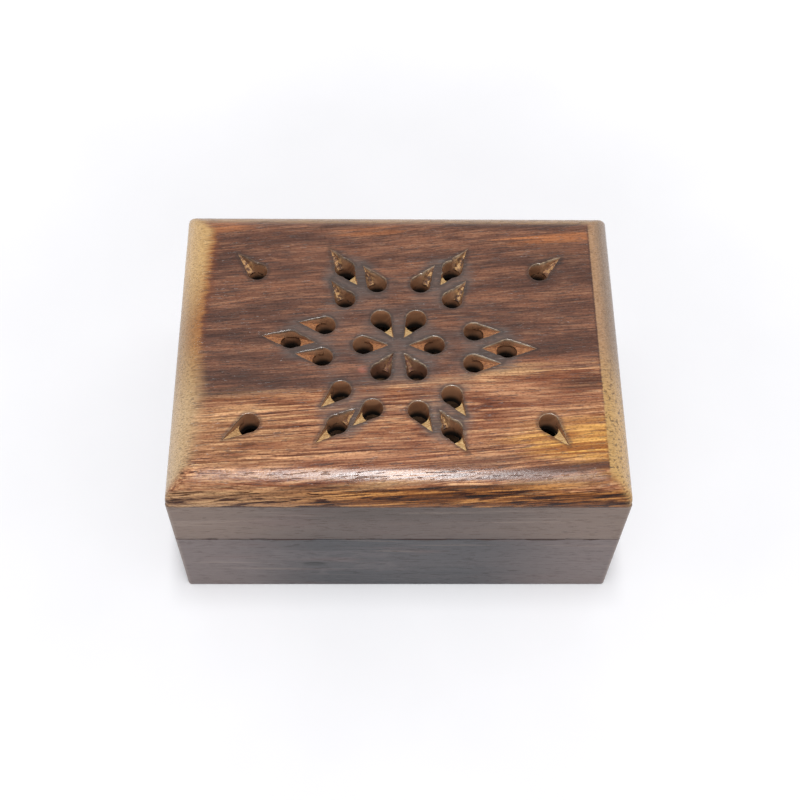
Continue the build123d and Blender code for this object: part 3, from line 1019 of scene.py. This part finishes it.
def drop_column(drop, angle):
    """One column of points: each one's distance, depth and near, fresh and bore marks."""
    tear = torn_edge(drop, angle)
    edge = drop.reach(angle) - tear
    depth = drop.floor(angle, edge)
    broad = RIM * (1 + RIM_CHIPS * chipping(drop, angle))
    rim = min(broad, depth * RIM_SHARE)
    steps = [(drop.reach(angle, APRON), 0.0, APRON, 0.0, 0.0)]
    for k in range(RIM_STEPS + 1):
        turn = pi / 2 * k / RIM_STEPS
        grow = broad * (1 - sin(turn))
        steps.append((drop.reach(angle, grow) - tear, rim * (1 - cos(turn)), grow, 0.0, 0.0))
    lean = SCOOP * drop.scoop(angle) * (depth - rim)
    foot = max(edge - lean, HOLE_RADIUS)
    ragged = drop.scoop(angle) * (edge - foot) / max(lean, LEAST_FLOOR)
    for k in range(1, WALL_STEPS + 1):
        share = k / WALL_STEPS
        down = rim + (drop.floor(angle, foot) - rim) * share
        steps.append((edge + (foot - edge) * share, down, 0.0, ragged, 1.0 - ragged))
    for k in range(1, FLOOR_STEPS + 1):
        distance = foot + (HOLE_RADIUS - foot) * k / FLOOR_STEPS
        steps.append((distance, drop.floor(angle, distance), 0.0, 1.0, 0.0))
    start = steps[-1][1]
    for k in range(1, BORE_STEPS + 1):
        down = start + (THICK - start) * k / BORE_STEPS
        steps.append((HOLE_RADIUS, down, 0.0, 0.0, 1.0))
    steps.append((HOLE_RADIUS + UNDER_APRON, THICK, CLEAR, 0.0, 0.0))
    return steps


def drop_rings(drop, drops, mesh):
    """One drop's surface, from the board's top over the rim and the tails and down the bore."""
    columns = []
    for angle in drop.angles():
        steps = drop_column(drop, angle)
        columns.append([drop_point(mesh, drop, drops, angle, step) for step in steps])
    rings = [list(ring) for ring in zip(*columns)]
    for outer, inner in zip(rings, rings[1:]):
        mesh.strip(inner, outer)
    return rings[0], rings[-1]


def drop_point(mesh, drop, drops, angle, step):
    """One point of a drop's surface, with the floor of the tail a little torn."""
    distance, depth, near, fresh, bore = step
    x, y = drop.spot(angle, distance)
    if fresh and depth > LEAST_FLOOR:
        depth += drop.torn * torn(x, y, TORN_SIZE) * min(depth, 1.0)
    crowd = second_gap(drops, x, y) if near else 0.0
    return mesh.point(x, y, TOP - depth, near, crowd, fresh, bore, drop.tone(angle))


def second_gap(drops, x, y):
    """How far a point lies from the second nearest drop, which is little between two drops."""
    return sorted(drop.gap(x, y) for drop in drops)[1]


def edge_loop(mesh, grow, z):
    """Points round the board, that far outside its flat top."""
    half_x = HALF_LENGTH - ROUND + grow
    half_y = HALF_DEPTH - ROUND + grow
    share = grow / ROUND
    front = FRONT_MITRE_EASE + (FRONT_CORNER_EASE - FRONT_MITRE_EASE) * share
    back = BACK_MITRE_EASE + (BACK_CORNER_EASE - BACK_MITRE_EASE) * share
    eases = (front, back, back, front)
    sides = ((half_x, half_y, HALF_LENGTH), (half_y, half_x, HALF_DEPTH))
    loop = []
    for number, ease in enumerate(eases):
        half, off, full = sides[number % 2]
        start = eases[number - 1] - half
        reach = half - ease
        steps = round(full * 2 / FLAT_STEP)
        turn = number * pi / 2
        local = [(start + (reach - start) * k / steps, -off) for k in range(steps + 1)]
        for k in range(1, CORNER_STEPS):
            lean = pi / 2 * k / CORNER_STEPS
            local.append((reach + ease * sin(lean), -off + ease * (1 - cos(lean))))
        for along, out in local:
            x = along * cos(turn) - out * sin(turn)
            y = along * sin(turn) + out * cos(turn)
            loop.append(mesh.point(x, y, z))
    return loop


def scattered(half_x, half_y, step, drops):
    """Points spread unevenly over a flat face, clear of its edges and of the drops."""
    marker = random.Random(SEED)
    clear = APRON + step * CLEAR_OF_DROPS
    margin = step * CLEAR_OF_EDGES
    spots = []
    for row in range(1, int(2 * half_y / step)):
        for column in range(1, int(2 * half_x / step)):
            x = -half_x + column * step + marker.uniform(-SCATTER, SCATTER) * step
            y = -half_y + row * step + marker.uniform(-SCATTER, SCATTER) * step
            inside = half_x - abs(x) > margin and half_y - abs(y) > margin
            if inside and min(drop.gap(x, y) for drop in drops) > clear:
                spots.append(Vector((x, y)))
    return spots


def filled(mesh, outer, holes, step, z, drops, up):
    """A flat face between an outer loop and the holes' loops, with points spread over it."""
    loops = [list(dict.fromkeys(loop)) for loop in (outer, *holes)]
    spots = []
    edges = []
    for loop in loops:
        first = len(spots)
        spots.extend(Vector(mesh.points[index][:2]) for index in loop)
        edges.extend((first + k, first + (k + 1) % len(loop)) for k in range(len(loop)))
    half_x = max(spot.x for spot in spots)
    half_y = max(spot.y for spot in spots)
    spots.extend(scattered(half_x, half_y, step, drops))
    found, _, faces, *_ = delaunay_2d_cdt(spots, edges, [], 1, MERGE)
    for corners in faces:
        middle = sum((found[c] for c in corners), Vector((0, 0))) / len(corners)
        if min(drop_gap(drop, middle, up) for drop in drops) < 0:
            continue
        points = [flat_point(mesh, found[c], z, drops, up) for c in corners]
        mesh.face(*(points if up else points[::-1]))


def drop_gap(drop, spot, up):
    """How far a point lies outside a drop's apron on top, or outside its bore underneath."""
    if up:
        return drop.gap(spot.x, spot.y) - APRON + SLACK
    return hypot(spot.x - drop.place[0], spot.y - drop.place[1]) - HOLE_RADIUS - UNDER_APRON + SLACK


def flat_point(mesh, spot, z, drops, up):
    """A point of a flat face, marked with its distance from the carving if it is on top."""
    if not up:
        return mesh.point(spot.x, spot.y, z)
    near = max(min(drop.gap(spot.x, spot.y) for drop in drops), 0.0)
    return mesh.point(spot.x, spot.y, z, near, second_gap(drops, spot.x, spot.y))


def carved_board():
    """The lid's board: rounded all round, flat underneath, pierced and carved on top."""
    mesh = BoardMesh()
    drops = star_drops()
    tops, bottoms = zip(*(drop_rings(drop, drops, mesh) for drop in drops))
    loops = []
    for k in range(ROUND_STEPS + 1):
        turn = pi / 2 * k / ROUND_STEPS
        loops.append(edge_loop(mesh, ROUND * sin(turn), TOP - ROUND * (1 - cos(turn))))
    loops.append(edge_loop(mesh, ROUND, BOARD_UNDERSIDE + GLUE_EASE))
    loops.append(edge_loop(mesh, ROUND - GLUE_EASE, BOARD_UNDERSIDE))
    for upper, lower in zip(loops, loops[1:]):
        mesh.strip(upper, lower)
    filled(mesh, loops[0], tops, FLAT_STEP, TOP, drops, True)
    filled(mesh, loops[-1], bottoms, UNDERSIDE_STEP, BOARD_UNDERSIDE, drops, False)
    return mesh.build("carved_lid_board")


# Pieces and their materials

def dress(material, *nodes):
    """Gives CAD nodes a material."""
    for node in nodes:
        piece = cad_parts[node]
        piece.data.materials.clear()
        piece.data.materials.append(material)


board = carved_board()
board.data.materials.append(carved_wood())
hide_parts("lid_top_board")
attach(board, "lid")

for wall, wall_grain in LID_WALLS:
    dress(wall_wood(wall, wall_grain, RAIL_TONES, RAIL_ENDS), wall)
for wall, wall_grain in BASE_WALLS:
    dress(wall_wood(wall, wall_grain, BASE_TONES, BASE_ENDS), wall)
dress(brass("leaf_brass", seed=2.0, rough=0.24), "left_hinge_lid_leaf", "right_hinge_lid_leaf",
      "left_hinge_base_leaf", "right_hinge_base_leaf")
dress(brass("pin_brass", seed=5.0, rough=0.18), "left_hinge_pin", "right_hinge_pin")
dress(brass("screw_brass", seed=8.0, rough=0.2), "lid_hinge_screws", "base_hinge_screws")


# Floor, light and camera

def floor_material():
    """Plain pale paper, which looks whiter than it lights but keeps the box's shadow."""
    look = Look(bpy.data.materials.new("floor_paper"))
    tone = look.noise(look.vector("MULTIPLY", look.point(), (1 / FLOOR_CLOUD,) * 3), 3.0)
    colour = look.ramp(tone, *FLOOR_TONES)
    path = look.add("ShaderNodeLightPath").outputs
    seen = look.math("MAXIMUM", path["Is Camera Ray"], path["Is Glossy Ray"])
    seen = look.math("MAXIMUM", seen, path["Is Transmission Ray"])
    away = look.vector("LENGTH", look.vector("MULTIPLY", look.point(), (1, 1, 0)))
    glow = look.rise(away, *FLOOR_GLOW)
    glow = look.times(seen, glow)
    return look.finish(
        Base_Color=colour, Roughness=FLOOR_ROUGH, Emission_Color=colour, Emission_Strength=glow
    )


def make_floor():
    """A square of paper under the box."""
    half = FLOOR_HALF * MM
    corners = [(-half, -half, 0), (half, -half, 0), (half, half, 0), (-half, half, 0)]
    mesh = bpy.data.meshes.new("floor")
    mesh.from_pydata(corners, [], [(0, 1, 2, 3)])
    mesh.materials.append(floor_material())
    floor = put("floor", mesh)


def make_world():
    """An even pale room: white low down, where the background shows, and dimmer overhead."""
    look = Look(bpy.data.worlds.new("studio"))
    height = look.split(look.add("ShaderNodeTexCoord").outputs["Generated"])[2]
    strength = look.rise(height, *WORLD_LEVEL)
    background = look.add("ShaderNodeBackground", shade(WHITE), strength)
    look.add("ShaderNodeOutputWorld", background.outputs[0])
    bpy.context.scene.world = look.owner


def make_lamp():
    """One soft lamp overhead and a little in front."""
    data = bpy.data.lights.new("softbox", "AREA")
    data.shape = "RECTANGLE"
    data.size, data.size_y = (side * MM for side in LAMP_SIZE)
    data.energy = LAMP_WATTS
    lamp = put("softbox", data)
    lamp.location = Vector(LAMP_PLACE) * MM
    aim = Vector((0, 0, TOP)) * MM - lamp.location
    lamp.rotation_euler = aim.to_track_quat("-Z", "Y").to_euler()


def make_camera():
    """The photo's view, from the front and well above."""
    data = bpy.data.cameras.new("camera")
    data.sensor_width = SENSOR
    data.lens = FOCAL_PIXELS * SENSOR / IMAGE_PIXELS
    data.clip_start = CAMERA_NEAR * MM
    camera = put("camera", data)
    turn = Matrix.Rotation(radians(CAMERA_TURN), 4, "Z")
    tilt = Matrix.Rotation(radians(90 - CAMERA_TILT), 4, "X")
    roll = Matrix.Rotation(radians(CAMERA_ROLL), 4, "Z")
    camera.matrix_world = Matrix.Translation(Vector(CAMERA_PLACE) * MM) @ turn @ tilt @ roll
    bpy.context.scene.camera = camera


make_floor()
make_world()
make_lamp()
make_camera()
bpy.context.scene.view_settings.view_transform = "Standard"
